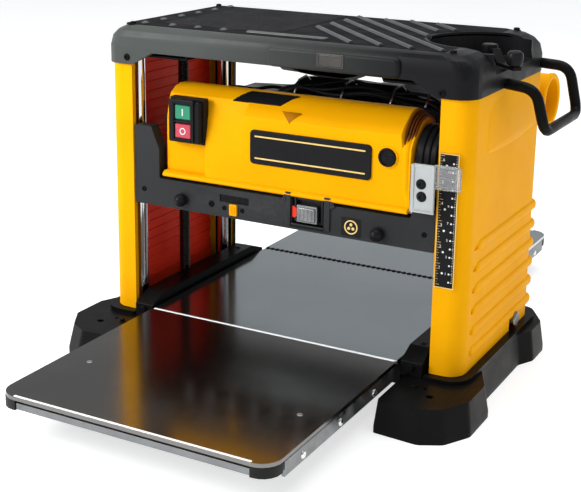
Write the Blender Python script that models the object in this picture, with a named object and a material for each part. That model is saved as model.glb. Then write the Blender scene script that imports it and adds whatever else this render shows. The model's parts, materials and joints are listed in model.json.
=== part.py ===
"""Portable thickness planer: a carriage with motor and cutterhead that two lead screws
lift on four columns, over a fixed table with a folding extension table on each side.

Lengths are in millimetres and are turned into metres where meshes are made. X runs across
the machine, Y along the feed from the infeed side (-Y) to the outfeed side, and Z is up.
The origin is on the bench, under the middle of the machine."""

import math

import bmesh
import bpy
from mathutils import Matrix, Vector

MM = 0.001
GAP = 0.3  # left between pieces that touch
FLAT = 0.0005  # how far a face's corners may stand off its plane

# Heights over the bench
FOOT_TOP = 40.0
COLLAR_TOP = 44.7
TABLE_TOP = 57.0
RAIL_TOP = 69.0
HOUSING_TOP = 374.6
SKIRT_BOTTOM = 392.0
COVER_TOP = 427.0

# The fixed table and the two extension tables
TABLE_HALF = 174.0
MAIN_HALF = 147.0
PLATE = 4.5
WING_START = 151.3
WING_END = 450.0
WING_CORNER = 24.0
HINGE_Y = 173.0
HINGE_Z = 45.0
RAIL_IN = 177.6
RAIL_OUT = 204.5

# The two side housings and what stands in them
HOUSING_IN = 210.0
HOUSING_OUT = 248.0
HOUSING_FRONT = -136.0
HOUSING_REAR = 118.0
WALL = 4.0
SCREW_X = 218.0
SCREW_Y = -6.0
SCREW_R = 7.5
COLUMN_REACH = 103.0  # from the lead screw to each column, along Y
COLUMN_R = 8.0
FRAME_Z = 384.0
RIBS = 6
RIB_BOTTOM = 64.0
RIB_PITCH = 26.0
RIB_GROOVE = 6.0
RIB_FRONT = -108.0
RIB_REAR = 104.0
TURRET_Y = 56.0
TURRET_Z = 57.0
CHAIN_REACH = 238.0
CHAIN_LINK = 3.5

# The top cover
COVER_HALF = 250.0
COVER_FRONT = -141.0
COVER_REAR = 122.0
COVER_WALL = 3.5
COVER_EDGE = 375.0  # lower edge over the housings
LEG_START = 176.0  # the cover's ends come down between these two widths
LEG_END = 207.0
ROLL_DEPTH = 34.0
ROLL_RISE = 30.0
RECESS_R = 74.0
RECESS_FLOOR = 395.0
CRANK_REACH = 60.0
CRANK_TURN = -42.0  # direction of the crank arm at rest, in degrees from +X

# The carriage, with the knives 128 mm over the table
BEAM_FRONT = -134.5
BEAM_BACK = -118.0
BEAM_BOTTOM = 193.0
BEAM_TOP = 230.0
BEAM_END = 208.5
LEFT_EAR = 297.0  # top of the beam's upstand on the switch's side
RIGHT_EAR = 241.0
REAR_BEAM = 100.0
SIDE_IN = 184.0
SIDE_OUT = 204.0
SLEEVE_R = 14.0
NUT_R = 14.5
CUT_HEIGHT = 185.0
HEAD_Y = -4.0
HEAD_R = 24.0
HEAD_Z = CUT_HEIGHT + HEAD_R + 1.5
JOURNAL_R = 6.0
HEAD_PULLEY = 16.0
MOTOR_PULLEY = 14.0
ROLLER_R = 14.0
ROLLER_OFFSET = 58.0
ROLLER_Z = 198.4
MOTOR_Y = -88.0
MOTOR_Z = 300.0
CUT_HALF = 160.0
KNIFE_SEAT = 14.0  # bottom of a knife's slot, from the cutterhead's axis
PAWLS = 10
PAWL_Y = -100.0
PAWL_Z = 214.0
START_Z = 322.0
STOP_Z = 298.0
BUTTON_HALF = 9.0
DUCT_Y = 158.0
DUCT_Z = 328.0

# Carrying handles
HANDLE_R = 6.5
HANDLE_FRONT = -36.0
HANDLE_REAR = 98.0
HANDLE_OUT = 300.0

YELLOW = ("yellow_plastic", (0.86, 0.48, 0.02), 0.38, 0.0)
BLACK = ("black_plastic", (0.018, 0.018, 0.02), 0.5, 0.0)
BLACK_PAINT = ("black_paint", (0.014, 0.014, 0.015), 0.42, 0.0)
GREY_PAINT = ("dark_grey_paint", (0.055, 0.058, 0.062), 0.45, 0.0)
STEEL = ("polished_steel", (0.56, 0.57, 0.58), 0.16, 1.0)
ZINC = ("zinc_steel", (0.42, 0.43, 0.44), 0.35, 1.0)
CHROME = ("chrome", (0.7, 0.71, 0.72), 0.12, 1.0)
RUBBER = ("rubber", (0.02, 0.02, 0.02), 0.8, 0.0)
GREEN = ("green_plastic", (0.02, 0.3, 0.08), 0.4, 0.0)
RED = ("red_plastic", (0.6, 0.03, 0.04), 0.4, 0.0)
CLEAR = ("clear_acrylic", (0.8, 0.82, 0.84), 0.1, 0.0)


# ---------------------------------------------------------------- helpers

def clear_scene():
    for thing in list(bpy.data.objects):
        bpy.data.objects.remove(thing, do_unlink=True)


def material(spec):
    """The Principled material of a finish, made once."""
    name, colour, roughness, metallic = spec
    found = bpy.data.materials.get(name)
    if found:
        return found
    made = bpy.data.materials.new(name)
    made.use_nodes = True
    shader = made.node_tree.nodes["Principled BSDF"]
    shader.inputs["Base Color"].default_value = (*colour, 1.0)
    shader.inputs["Roughness"].default_value = roughness
    shader.inputs["Metallic"].default_value = metallic
    return made


def is_flat(face):
    first = face.verts[0].co
    return all(abs((vert.co - first).dot(face.normal)) <= FLAT for vert in face.verts)


def finish(name, bm, spec, smooth=None):
    """A bmesh in millimetres becomes an object in metres; faces that aren't flat are split."""
    bmesh.ops.recalc_face_normals(bm, faces=bm.faces)
    bm.normal_update()
    bent = [face for face in bm.faces if not is_flat(face)]
    bmesh.ops.triangulate(bm, faces=bent)
    bmesh.ops.scale(bm, vec=Vector((MM, MM, MM)), verts=bm.verts)
    mesh = bpy.data.meshes.new(name)
    bm.to_mesh(mesh)
    bm.free()
    if smooth is not None:
        mesh.shade_smooth()
        mesh.set_sharp_from_angle(angle=math.radians(smooth))
    made = bpy.data.objects.new(name, mesh)
    bpy.context.scene.collection.objects.link(made)
    made.data.materials.append(material(spec))
    return made


def rounded(corners, steps=4):
    """An outline from (x, y, radius) corners, with an arc at each corner that has a radius."""
    points = []
    count = len(corners)
    for i, (x, y, radius) in enumerate(corners):
        here = Vector((x, y))
        if radius <= 0:
            points.append(here)
            continue
        before = Vector(corners[i - 1][:2]) - here
        after = Vector(corners[(i + 1) % count][:2]) - here
        half = before.angle(after) / 2
        reach = radius / math.tan(half)
        centre = here + (before.normalized() + after.normalized()).normalized() * radius / math.sin(half)
        first = here + before.normalized() * reach - centre
        last = here + after.normalized() * reach - centre
        sweep = first.angle_signed(last)
        for k in range(steps + 1):
            turned = first.copy()
            turned.rotate(Matrix.Rotation(-sweep * k / steps, 2))
            points.append(centre + turned)
    return points


def placed(plane, u, v, w):
    """The point at (u, v) of a plane, w along its normal: xy up, xz along Y, yz along X."""
    return {"xy": Vector((u, v, w)), "xz": Vector((u, w, v)), "yz": Vector((w, u, v))}[plane]


def loft(name, rings, spec, smooth=None):
    """A closed solid through rings of 3-D points, all with the same count."""
    bm = bmesh.new()
    loops = [[bm.verts.new(p) for p in ring] for ring in rings]
    for low, high in zip(loops, loops[1:]):
        for k in range(len(low)):
            nxt = (k + 1) % len(low)
            bm.faces.new((low[k], low[nxt], high[nxt], high[k]))
    bm.faces.new(loops[0])
    bm.faces.new(loops[-1])
    return finish(name, bm, spec, smooth)


def prism(name, outline, plane, start, end, spec, smooth=None):
    """An outline pushed out along its plane's normal."""
    rings = [[placed(plane, p[0], p[1], w) for p in outline] for w in (start, end)]
    return loft(name, rings, spec, smooth)


def block(name, low, high, spec, bevel=0.0, segments=2):
    """A box between two corners, with its edges beveled."""
    bm = bmesh.new()
    bmesh.ops.create_cube(bm, size=1.0)
    size = Vector(high) - Vector(low)
    bmesh.ops.scale(bm, vec=size, verts=bm.verts)
    bmesh.ops.translate(bm, vec=Vector(low) + size / 2, verts=bm.verts)
    if bevel:
        bmesh.ops.bevel(bm, geom=bm.edges[:], offset=bevel, segments=segments, affect="EDGES", profile=0.5)
    return finish(name, bm, spec)


def turned(name, profile, axis, centre, spec, sides=24, smooth=35, sign=1):
    """A turned piece: (radius, along) pairs spun about an axis through centre."""
    rings = []
    for radius, along in profile:
        ring = []
        for k in range(sides):
            a = 2 * math.pi * k / sides
            u, v = radius * math.cos(a), radius * math.sin(a)
            w = sign * along
            offset = {"x": Vector((w, u, v)), "y": Vector((u, w, v)), "z": Vector((u, v, w))}[axis]
            ring.append(Vector(centre) + offset)
        rings.append(ring)
    return loft(name, rings, spec, smooth)


def rod(name, radius, start, end, axis, centre, spec, sides=24, chamfer=0.8):
    """A round bar between two positions along an axis, with its ends chamfered."""
    inset = radius - chamfer
    profile = [(inset, start), (radius, start + chamfer), (radius, end - chamfer), (inset, end)]
    return turned(name, profile, axis, centre, spec, sides)


def tube_ring(name, outer, inner, axis, centre, start, end, spec, sides=24):
    """A round sleeve, open at both ends."""
    made = turned(name, [(outer, start), (outer, end)], axis, centre, spec, sides)
    hole = rod(name + "_bore", inner, start - 5, end + 5, axis, centre, spec, sides)
    return cut(made, hole)


def helper(piece):
    """Marks an object that only shapes another one."""
    piece.hide_render = True
    piece.display_type = "WIRE"
    return piece


def combine(target, other, operation):
    change = target.modifiers.new(other.name, "BOOLEAN")
    change.operation = operation
    change.solver = "EXACT"
    change.object = helper(other)
    return target


def cut(target, *others):
    for other in others:
        combine(target, other, "DIFFERENCE")
    return target


def join(target, *others):
    for other in others:
        combine(target, other, "UNION")
    return target


def side_name(side):
    return "right" if side > 0 else "left"


def mirrored(points, side):
    """Outline points for the right side, mirrored for the left, still in the same turning sense."""
    if side > 0:
        return points
    return [Vector((-p[0], *p[1:])) for p in reversed(points)]


# ---------------------------------------------------------------- base

def foot(side):
    """A cast foot with a wide pad at each end, a collar for the housing and a pocket for the chain."""
    bottom = [
        (180, -226, 3), (236, -230, 14), (262, -216, 12), (281, -182, 14), (281, -122, 10), (263, -84, 16),
        (263, 42, 16), (275, 66, 14), (275, 110, 16), (246, 158, 18), (178, 158, 2),
    ]
    top = [
        (183, -222, 3), (230, -226, 14), (256, -211, 12), (276, -178, 14), (276, -126, 10), (258, -86, 16),
        (258, 44, 16), (270, 68, 14), (270, 108, 16), (243, 153, 18), (180, 153, 2),
    ]
    name = "base_foot_" + side_name(side)
    low = mirrored(rounded(bottom), side)
    high = mirrored(rounded(top), side)
    rings = [[Vector((p[0], p[1], 0)) for p in low], [Vector((p[0], p[1], 8)) for p in low]]
    rings.append([Vector((p[0], p[1], FOOT_TOP)) for p in high])
    made = loft(name, rings, BLACK_PAINT)
    collar = rounded([(206, -147, 4), (258, -147, 26), (258, 129, 18), (206, 129, 4)])
    join(made, prism(name + "_collar", mirrored(collar, side), "xy", FOOT_TOP - 2, COLLAR_TOP, BLACK_PAINT))
    if side > 0:
        join(made, block(name + "_boss", (224, 46, 40), (236, 66, 68), BLACK_PAINT))
        cut(made, rod(name + "_boss_bore", 4.4, 215, 245, "x", (0, TURRET_Y, TURRET_Z), BLACK_PAINT, 12))
    centre = (side * SCREW_X, SCREW_Y, 0)
    low, high = sorted((170 * side, centre[0]))
    cut(
        made,
        rod(name + "_screw_bore", SCREW_R + 0.8, -5, 60, "z", centre, BLACK_PAINT, 16),
        rod(name + "_pocket", 24, -5, 24, "z", centre, BLACK_PAINT, 24),
        block(name + "_channel", (low, SCREW_Y - 24, -5), (high, SCREW_Y + 24, 23), BLACK_PAINT),
    )
    for x, y, radius in ((232, -186, 4.5), (219, -168, 2.5), (232, 142, 4.5)):
        cut(made, rod(f"{name}_hole_{y}", radius, -5, 60, "z", (side * x, y, 0), BLACK_PAINT, 12))
    return made


def table_bed():
    top = TABLE_TOP - PLATE - GAP
    return block("table_bed", (-177, -140, 24), (177, 140, top), BLACK_PAINT, 2.0)


def main_table():
    low = (-TABLE_HALF, -MAIN_HALF, TABLE_TOP - PLATE)
    return block("main_table", low, (TABLE_HALF, MAIN_HALF, TABLE_TOP), STEEL, 1.2)


def side_rail(side):
    """The upstand between the table and the housing, sloping down to the table at both ends."""
    low = FOOT_TOP + GAP
    corners = [
        (-145, low, 0), (-145, 58, 2), (-118, RAIL_TOP, 5),
        (114, RAIL_TOP, 5), (145, 58, 2), (145, low, 0),
    ]
    name = "side_rail_" + side_name(side)
    return prism(name, rounded(corners, 3), "yz", side * RAIL_IN, side * RAIL_OUT, BLACK_PAINT)


def column(side, end):
    """One of the four polished guide columns."""
    name = f"column_{'front' if end < 0 else 'rear'}_{side_name(side)}"
    y = SCREW_Y + end * COLUMN_REACH
    return rod(name, COLUMN_R, COLLAR_TOP + GAP, FRAME_Z - GAP, "z", (side * SCREW_X, y, 0), CHROME, 20)


def housing_section(offset):
    """Half of the housing's U section, as one run of points from its front inner edge to its rear one."""
    out, front, rear = HOUSING_OUT - offset, HOUSING_FRONT + offset, HOUSING_REAR - offset
    corners = [
        (HOUSING_IN, front, 0), (out, front, 22 - offset),
        (out, rear, 14 - offset), (HOUSING_IN, rear, 0),
    ]
    return rounded(corners, 6)


def housing(side):
    """A plastic side housing: a U section open to the throat, with horizontal ribs pressed into its side."""
    name = "housing_" + side_name(side)
    outer = housing_section(0)
    inner = housing_section(WALL)
    lip = 7
    section = outer + [Vector((HOUSING_IN, HOUSING_REAR - lip)), Vector((HOUSING_IN + 2.5, HOUSING_REAR - lip))]
    section += [Vector((HOUSING_IN + 2.5, HOUSING_REAR - WALL))] + list(reversed(inner))[1:-1]
    section += [Vector((HOUSING_IN + 2.5, HOUSING_FRONT + WALL))]
    section += [Vector((HOUSING_IN + 2.5, HOUSING_FRONT + lip)), Vector((HOUSING_IN, HOUSING_FRONT + lip))]
    made = prism(name, mirrored(section, side), "xy", COLLAR_TOP + GAP, HOUSING_TOP, YELLOW, 40)
    for k in range(RIBS):
        z = RIB_BOTTOM + k * RIB_PITCH
        top = z + RIB_GROOVE
        ends = ((RIB_FRONT, z), (RIB_REAR, z), (RIB_REAR, top), (RIB_FRONT, top))
        groove = rounded([(y, height, 2.5) for y, height in ends], 3)
        start, end = sorted((side * (HOUSING_OUT - 1.8), side * (HOUSING_OUT + 5)))
        cut(made, prism(f"{name}_groove_{k}", groove, "yz", start, end, YELLOW))
    if side > 0:
        notch = rounded([(41, 30, 0), (71, 30, 0), (71, 68, 5), (41, 68, 5)], 3)
        cut(made, prism(name + "_notch", notch, "yz", 236, 260, YELLOW))
    return made


def depth_scale():
    low = (212.5, HOUSING_FRONT - 1.6, 155)
    return block("depth_scale", low, (234.5, HOUSING_FRONT - GAP, 312), BLACK, 0.4, 1)


def top_frame():
    """The stretcher that holds both ends of the columns, raised in the middle."""
    low, high, step, end, sheet = FRAME_Z, 394.0, 130.0, 236.0, 3.0
    outline = [
        (-end, low), (-step - 4, low), (-step, high), (step, high), (step + 4, low), (end, low),
        (end, low + sheet), (step + 6, low + sheet), (step + 2, high + sheet), (-step - 2, high + sheet),
        (-step - 6, low + sheet), (-end, low + sheet),
    ]
    made = prism("top_frame", outline, "xz", -126, 108, BLACK_PAINT)
    for side in (-1, 1):
        centre = (side * SCREW_X, SCREW_Y, 0)
        cut(made, rod(f"frame_bore_{side}", SCREW_R + 0.8, 370, 400, "z", centre, BLACK_PAINT, 16))
    return made


def turret_knob():
    """The depth stop's dial, low on the right side."""
    profile = [(4, 218), (4, 240), (9.5, 240), (10, 241), (10, 252), (8.5, 253.5), (3, 253.5)]
    return turned("turret_knob", profile, "x", (0, TURRET_Y, TURRET_Z), ZINC, 20)


# ---------------------------------------------------------------- lift

def lead_screw(side):
    """A lead screw on its own bearings, the right one longer, for the crank."""
    top = 408.0 if side > 0 else 391.0
    name = "lead_screw_" + side_name(side)
    return rod(name, SCREW_R, 11, top, "z", (side * SCREW_X, SCREW_Y, 0), CHROME, 20)


def screw_sprocket(side):
    centre = (side * SCREW_X, SCREW_Y, 0)
    return tube_ring("screw_sprocket_" + side_name(side), 16, SCREW_R + GAP, "z", centre, 11.5, 18.5, ZINC, 24)


def sync_chain():
    """The chain under the bed that turns both screws together."""
    made = prism("sync_chain", chain_line(0), "xy", 13, 17, ZINC)
    return cut(made, prism("sync_chain_inside", chain_line(CHAIN_LINK), "xy", 8, 22, ZINC))


def chain_line(inset):
    """The long loop round both sprockets, inset from the chain's outside."""
    x = CHAIN_REACH - inset
    r = CHAIN_REACH - SCREW_X - inset
    front, rear = SCREW_Y - r, SCREW_Y + r
    bend = r - 0.1
    return rounded([(-x, front, bend), (x, front, bend), (x, rear, bend), (-x, rear, bend)], 8)


def crank_arm():
    """The Z-bent crank: a hub on the right lead screw and a flat arm that steps down and out."""
    angle = math.radians(CRANK_TURN)
    direction = Vector((math.cos(angle), math.sin(angle), 0))
    across = Vector((-direction.y, direction.x, 0)) * 5.5
    centre = Vector((SCREW_X, SCREW_Y, 0))
    tip = CRANK_REACH + 7
    side_view = [
        (0, 412), (14, 412), (27, 398.5), (tip, 398.5), (tip, 402.5), (29, 402.5), (16, 416.5), (0, 416.5),
    ]
    rings = [[centre + direction * d + across * s + Vector((0, 0, z)) for d, z in side_view] for s in (-1, 1)]
    made = loft("crank_arm", rings, GREY_PAINT)
    profile = [(9.5, 408.5), (10, 409.5), (10, 418), (8.5, 420), (2, 420)]
    return join(made, turned("crank_hub", profile, "z", centre, GREY_PAINT, 20))


def crank_knob():
    """The turning knob at the end of the crank."""
    a = math.radians(CRANK_TURN)
    centre = (SCREW_X + CRANK_REACH * math.cos(a), SCREW_Y + CRANK_REACH * math.sin(a), 0)
    profile = [(6, 402.8), (9, 405), (10, 411), (9.5, 417), (7, 420), (2, 421)]
    return turned("crank_knob", profile, "z", centre, BLACK, 20)


# ---------------------------------------------------------------- top cover

def cover_edge(x, y):
    """Height of the cover's lower edge: low over the housings and high between them."""
    ax = abs(x)
    if y < COVER_FRONT + 12 or y > COVER_REAR - 12:
        if ax < LEG_START:
            return SKIRT_BOTTOM
        if ax < LEG_END:
            return SKIRT_BOTTOM + (COVER_EDGE - SKIRT_BOTTOM) * (ax - LEG_START) / (LEG_END - LEG_START)
    return COVER_EDGE


def cover_ring(offset, lean, top):
    """A ring of the cover: offset inwards from its largest outline, and lean rolls its sides in."""
    half = COVER_HALF - offset - lean
    front = COVER_FRONT + offset + lean * 0.3
    rear = COVER_REAR - offset - lean * 0.4
    radius = 24 - offset * 0.5
    xs = (-LEG_END, -LEG_START, -90, -40, 40, 90, LEG_START, LEG_END)
    scale = half / COVER_HALF
    ends = ((-half, front), (half, front), (half, rear), (-half, rear))
    corner = rounded([(x, y, radius) for x, y in ends], 5)
    per = len(corner) // 4
    points = list(corner[:per]) + [Vector((x * scale, front)) for x in xs]
    points += list(corner[per : 2 * per]) + [Vector((half, y)) for y in (-70, -6, 50)]
    points += list(corner[2 * per : 3 * per]) + [Vector((x * scale, rear)) for x in reversed(xs)]
    points += list(corner[3 * per :]) + [Vector((-half, y)) for y in (50, -6, -70)]
    if top is None:
        return [Vector((p.x, p.y, cover_edge(p.x, p.y))) for p in points]
    return [Vector((p.x, p.y, top)) for p in points]


def top_cover():
    """The moulded top: an open-bottomed shell with rolled sides and a round recess for the crank."""
    angles = [math.radians(d) for d in (0, 25, 45, 65, 90)]
    roll = [(ROLL_DEPTH * (1 - math.cos(a)), ROLL_RISE * math.sin(a)) for a in angles]
    base = COVER_TOP - ROLL_RISE
    outer = [cover_ring(0, 0, None)] + [cover_ring(0, lean, base + rise) for lean, rise in roll]
    inner = [cover_ring(COVER_WALL, lean, base - COVER_WALL + rise) for lean, rise in reversed(roll)]
    inner.append(cover_ring(COVER_WALL, 0, None))
    bm = bmesh.new()
    loops = [[bm.verts.new(p) for p in ring] for ring in outer + inner]
    top, ceiling = len(outer) - 1, len(outer)
    pairs = [(i, i + 1) for i in range(len(loops) - 1) if i != top] + [(len(loops) - 1, 0)]
    for i, j in pairs:
        low, high = loops[i], loops[j]
        for k in range(len(low)):
            nxt = (k + 1) % len(low)
            bm.faces.new((low[k], low[nxt], high[nxt], high[k]))
    bm.faces.new(loops[top])
    bm.faces.new(loops[ceiling])
    made = finish("top_cover", bm, BLACK, 35)
    centre = (SCREW_X, SCREW_Y, 0)
    pan = rod("crank_pan", RECESS_R + COVER_WALL, RECESS_FLOOR - COVER_WALL, COVER_TOP - 6, "z", centre, BLACK, 40)
    half, front, rear = COVER_HALF - 2, COVER_FRONT + 2, COVER_REAR - 2
    inside = rounded([(0, front, 4), (half, front, 22), (half, rear, 22), (0, rear, 4)])
    combine(pan, prism("crank_pan_limit", inside, "xy", 380, 430, BLACK), "INTERSECT")
    join(made, pan, front_grip())
    cut(
        made,
        rod("crank_recess", RECESS_R, RECESS_FLOOR, 440, "z", centre, BLACK, 40),
        rod("crank_bore", SCREW_R + 1, 380, 410, "z", centre, BLACK, 16),
    )
    return made


def front_grip():
    """The grip that hangs under the middle of the cover's front."""
    outline = rounded([(4, 394, 0), (10, 388.5, 6), (104, 385, 10), (124, 394, 0)], 3)
    return prism("front_grip", list(reversed(outline)), "xz", COVER_FRONT + 1.5, COVER_FRONT + 24, BLACK)


def carry_handle(side):
    """A bent steel tube bail, with both ends anchored inside the cover's side."""
    name = "carry_handle_" + side_name(side)
    curve = bpy.data.curves.new(name, "CURVE")
    curve.dimensions = "3D"
    curve.bevel_depth = HANDLE_R * MM
    curve.bevel_resolution = 3
    curve.use_fill_caps = True
    inner = HOUSING_OUT + 2.6
    corners = [
        (inner, HANDLE_FRONT, 380, 0), (287, HANDLE_FRONT, 376, 16), (HANDLE_OUT, HANDLE_FRONT, 327, 16),
        (HANDLE_OUT, HANDLE_REAR, 327, 16), (287, HANDLE_REAR, 384, 16), (inner, HANDLE_REAR, 386, 0),
    ]
    path = bent_path(corners, 6)
    spline = curve.splines.new("POLY")
    spline.points.add(len(path) - 1)
    for point, place in zip(spline.points, path):
        point.co = (side * place.x * MM, place.y * MM, place.z * MM, 1.0)
    curve.materials.append(material(BLACK_PAINT))
    made = bpy.data.objects.new(name, curve)
    bpy.context.scene.collection.objects.link(made)
    return made


def bent_path(corners, steps):
    """Straight runs with a round bend at each inner corner; corners are (x, y, z, radius)."""
    path = [Vector(corners[0][:3])]
    for before, here, after in zip(corners, corners[1:], corners[2:]):
        centre, radius = Vector(here[:3]), here[3]
        start = centre + (Vector(before[:3]) - centre).normalized() * radius
        end = centre + (Vector(after[:3]) - centre).normalized() * radius
        for k in range(steps + 1):
            t = k / steps
            path.append(start.lerp(centre, t).lerp(centre.lerp(end, t), t))
    path.append(Vector(corners[-1][:3]))
    return path


# ---------------------------------------------------------------- extension tables

def wing(end):
    """An extension table: end is -1 for the infeed side and 1 for the outfeed side."""
    name = "infeed" if end < 0 else "outfeed"

    def outline(half, start, stop, corner):
        near, far = end * start, end * stop
        points = rounded([(-half, near, 1.5), (half, near, 1.5), (half, far, corner), (-half, far, corner)], 6)
        return points if end > 0 else list(reversed(points))

    bottom = TABLE_TOP - PLATE
    plate = outline(TABLE_HALF, WING_START, WING_END, WING_CORNER)
    prism(name + "_table", plate, "xy", bottom, TABLE_TOP, STEEL, 40)
    tray = prism(name + "_tray", outline(168, WING_START + 2, WING_END - 8, 20), "xy", 44, bottom - GAP, ZINC)
    band = outline(172.4, WING_START + 2, WING_END - 2, WING_CORNER - 2)
    join(tray, prism(name + "_band", band, "xy", 41.5, 49, ZINC))
    for side in (-1, 1):
        low, high = sorted((side * 170.2, side * 173.8))
        near, far = sorted((end * (WING_START + 3), end * (WING_END - WING_CORNER - 4)))
        join(tray, block(f"{name}_flange_{side}", (low, near, 34.5), (high, far, bottom - 1.2), ZINC))
    near, far = sorted((end * (WING_START + 6), end * (WING_END - 12)))
    cut(tray, block(name + "_hollow", (-166.5, near, 20), (166.5, far, 49.5), ZINC))
    for side in (-1, 1):
        cap_at(name, side, end, tray)


def cap_at(name, side, end, tray):
    """A black corner cap; the tray is cut away where it sits."""
    half, stop, size = TABLE_HALF - 0.4, WING_END - 0.4, 25.0
    near, side_edge = stop - size, half - size
    outline = rounded([(side_edge, near, 1), (half, near, 1), (half, stop, 21), (side_edge, stop, 1)], 5)

    def handed(points):
        flipped = [Vector((side * p.x, end * p.y)) for p in points]
        return flipped if side * end > 0 else list(reversed(flipped))

    bottom = TABLE_TOP - PLATE
    cap_name = f"{name}_corner_cap_{side_name(side)}"
    prism(cap_name, handed(outline), "xy", 40.5, bottom - GAP, RUBBER)
    spread = rounded([
        (side_edge - GAP, near - GAP, 0), (half + 9, near - GAP, 0),
        (half + 9, stop + 9, 0), (side_edge - GAP, stop + 9, 0),
    ])
    cut(tray, prism(cap_name + "_seat", handed(spread), "xy", 20, bottom + 1, ZINC))


# ---------------------------------------------------------------- carriage

def carriage_casting():
    """The casting that carries the motor and the cutterhead and slides on the columns."""
    beam = rounded([
        (-BEAM_END, BEAM_BOTTOM, 1), (BEAM_END, BEAM_BOTTOM, 1), (BEAM_END, RIGHT_EAR, 3), (181, RIGHT_EAR, 2),
        (178, BEAM_TOP, 3), (-171, BEAM_TOP, 3), (-171, 268, 6), (-183, LEFT_EAR, 3), (-BEAM_END, LEFT_EAR, 3),
    ], 3)
    made = prism("carriage_casting", beam, "xz", BEAM_FRONT, BEAM_BACK, GREY_PAINT, 40)
    rear = [(-206, 200), (206, 200), (206, 232), (-206, 232)]
    join(made, prism("rear_beam", rear, "xz", REAR_BEAM, REAR_BEAM + 14, GREY_PAINT))
    for side in (-1, 1):
        low, high = sorted((side * SIDE_IN, side * SIDE_OUT))
        near, far = (low, BEAM_BACK - 4, 194), (high, REAR_BEAM + 4, 230)
        join(made, block(f"side_plate_{side}", near, far, GREY_PAINT))
        for end in (-1, 1):
            centre = (side * SCREW_X, SCREW_Y + end * COLUMN_REACH, 0)
            ends = [(SLEEVE_R, 198), (SLEEVE_R, 246)]
            join(made, turned(f"sleeve_{side}_{end}", ends, "z", centre, GREY_PAINT, 24))
        centre = (side * SCREW_X, SCREW_Y, 0)
        join(made, turned(f"nut_boss_{side}", [(NUT_R, 204), (NUT_R, 236)], "z", centre, GREY_PAINT, 24))
    for side in (-1, 1):
        for end in (-1, 0, 1):
            centre = (side * SCREW_X, SCREW_Y + end * COLUMN_REACH, 0)
            bore = COLUMN_R if end else SCREW_R
            cut(made, rod(f"carriage_bore_{side}_{end}", bore + 0.6, 180, 260, "z", centre, GREY_PAINT, 20))
        low, high = sorted((side * (SIDE_IN - 10), side * (SIDE_OUT + 10)))
        head = (0, HEAD_Y, HEAD_Z)
        cut(made, rod(f"head_journal_{side}", JOURNAL_R + 0.6, low, high, "x", head, GREY_PAINT, 16))
        for y in (HEAD_Y - ROLLER_OFFSET, HEAD_Y + ROLLER_OFFSET):
            slot = rounded([(y - 5.6, 180, 0), (y + 5.6, 180, 0), (y + 5.6, 204, 5.5), (y - 5.6, 204, 5.5)], 4)
            cut(made, prism(f"roller_slot_{side}_{y}", slot, "yz", low, high, GREY_PAINT))
    front = BEAM_FRONT - 2
    gauge_seat = block("gauge_seat", (23, front, 201), (66, BEAM_FRONT + 8, BEAM_TOP + 10), GREY_PAINT)
    window = block("index_window", (-80, front, 212.5), (-38, BEAM_FRONT + 2.5, 222), GREY_PAINT)
    return cut(made, gauge_seat, window)


def cutterhead():
    """The two-knife cutterhead, a turned bar with a journal at each end."""
    end = CUT_HALF + 4
    profile = [
        (JOURNAL_R, -195), (JOURNAL_R, -end - 4), (HEAD_R - 1, -end), (HEAD_R, -end + 1),
        (HEAD_R, end - 1), (HEAD_R - 1, end), (JOURNAL_R, end + 4), (JOURNAL_R, 200),
    ]
    made = turned("cutterhead", profile, "x", (0, HEAD_Y, HEAD_Z), STEEL, 24)
    for sign in (-1, 1):
        low, high = sorted((HEAD_Z + sign * KNIFE_SEAT, HEAD_Z + sign * (HEAD_R + 2)))
        near, far = HEAD_Y - 2.2, HEAD_Y + 2.2
        cut(made, block(f"knife_seat_{sign}", (-CUT_HALF, near, low), (CUT_HALF, far, high), STEEL))
    return made


def knife(sign, label):
    low, high = sorted((HEAD_Z + sign * (KNIFE_SEAT + GAP), HEAD_Z + sign * (HEAD_R + 1.3)))
    x = CUT_HALF - GAP
    return block("knife_" + label, (-x, HEAD_Y - 1.8, low), (x, HEAD_Y + 1.8, high), CHROME)


def cutterhead_pulley():
    return pulley("cutterhead_pulley", HEAD_PULLEY, JOURNAL_R + GAP, HEAD_Y, HEAD_Z)


def pulley(name, radius, bore, y, z):
    """A flanged belt pulley on the left side of the cover."""
    rim = radius + 2
    profile = [(rim, -181.5), (rim, -180.5), (radius, -180), (radius, -171), (rim, -170.5), (rim, -169.5)]
    made = turned(name, profile, "x", (0, y, z), GREY_PAINT, 24)
    return cut(made, rod(name + "_bore", bore, -190, -160, "x", (0, y, z), GREY_PAINT, 16))


def motor_body():
    """The universal motor with its shaft towards the belt."""
    profile = [
        (JOURNAL_R, -184), (JOURNAL_R, -124), (33, -122), (34, -121),
        (34, 138), (33, 139), (8, 141), (8, 150),
    ]
    return turned("motor_body", profile, "x", (0, MOTOR_Y, MOTOR_Z), GREY_PAINT, 24)


def motor_pulley():
    return pulley("motor_pulley", MOTOR_PULLEY, JOURNAL_R + GAP, MOTOR_Y, MOTOR_Z)


def drive_belt():
    """The belt from the motor pulley down to the cutterhead's."""
    head = Vector((HEAD_Y, HEAD_Z))
    motor = Vector((MOTOR_Y, MOTOR_Z))
    inner = belt_outline(head, HEAD_PULLEY + 0.4, motor, MOTOR_PULLEY + 0.4)
    outer = belt_outline(head, HEAD_PULLEY + 3.4, motor, MOTOR_PULLEY + 3.4)
    made = prism("drive_belt", outer, "yz", -179, -172, RUBBER)
    return cut(made, prism("belt_inside", inner, "yz", -186, -165, RUBBER))


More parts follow.
